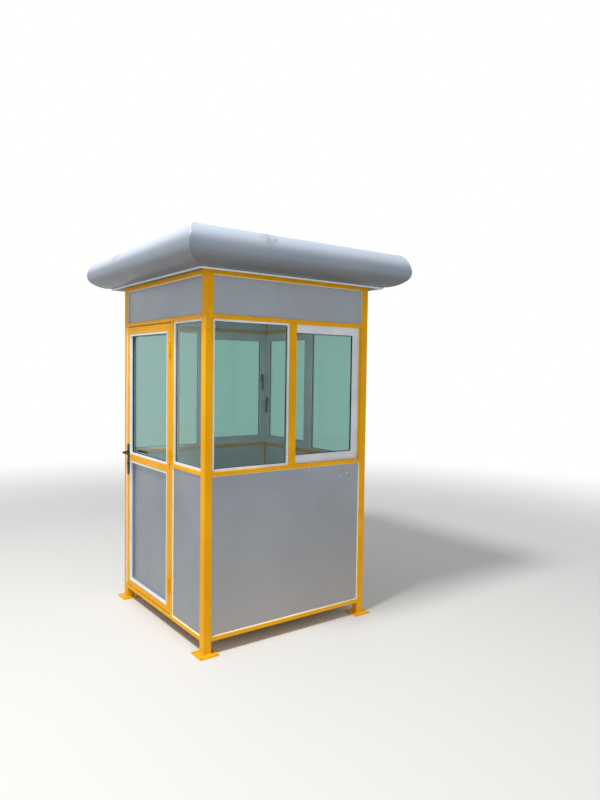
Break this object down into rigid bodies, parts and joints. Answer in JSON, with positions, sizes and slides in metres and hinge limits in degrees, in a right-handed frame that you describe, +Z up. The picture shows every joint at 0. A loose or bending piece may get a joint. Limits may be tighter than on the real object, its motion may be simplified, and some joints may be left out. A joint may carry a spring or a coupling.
{
  "type": "security guard booth",
  "caption": "Square guard booth on corner posts with a rounded overhanging roof edge, grey infill panels, glazed upper walls and a hinged door.",
  "frame": {"origin": "on the ground below the centre of the booth's plan", "axes": "+Z up; -Y is the window front, -X is the door side, +X runs to the right along the window front"},
  "size_m": [1.6, 1.6, 2.4276],
  "materials": {
    "frame_paint": "semi-gloss golden yellow paint",
    "grey_panel": "silver-grey coated composite sheet, fine brushed look",
    "roof_sheet": "silver-grey coated composite sheet, satin",
    "sealant": "cream sealant, matte",
    "white_trim": "white powder coat, satin",
    "glass": "clear with a green tint",
    "black_hardware": "black, satin",
    "floor_board": "grey coated board"
  },
  "bodies": {
    "root": {"corner_post_front_left": "frame_paint", "corner_post_front_right": "frame_paint", "corner_post_back_left": "frame_paint", "corner_post_back_right": "frame_paint", "foot_plates": "frame_paint", "top_rails": "frame_paint", "head_rails": "frame_paint", "sill_rails": "frame_paint", "bottom_rails": "frame_paint", "window_mullions": "frame_paint", "door_jamb": "frame_paint", "door_stops": "frame_paint", "upper_panels": "grey_panel", "lower_panel_front": "grey_panel", "lower_panel_right": "grey_panel", "lower_panel_back": "grey_panel", "lower_panel_left": "grey_panel", "panel_beads": "sealant", "fixed_glass_front": "glass", "fixed_glass_right": "glass", "fixed_glass_back": "glass", "fixed_glass_left": "glass", "fixed_glass_beads": "white_trim", "window_frame_front": "white_trim", "window_frame_right": "white_trim", "window_frame_back": "white_trim", "window_panes": "glass", "window_handles": "black_hardware", "floor_panel": "floor_board", "floor_joists": "frame_paint", "ceiling_panel": "grey_panel", "roof_soffit": "roof_sheet", "eaves_strips": "white_trim", "fascia_front": "roof_sheet", "fascia_right": "roof_sheet", "fascia_back": "roof_sheet", "fascia_left": "roof_sheet", "roof_curb": "floor_board", "roof_top": "roof_sheet", "jamb_hinge_leaves": "frame_paint"},
    "door": {"door_frame": "frame_paint", "door_glass": "glass", "door_panel": "grey_panel", "door_beads": "white_trim", "door_hinge_leaves": "frame_paint", "door_handle_set": "black_hardware"}
  },
  "joints": [
    {"name": "door_hinge", "type": "hinge", "parent": "root", "child": "door", "pos_m": [-0.6065, -0.1475, 1], "axis": [0, 0, 1], "range_deg": [0, 110]}
  ]
}
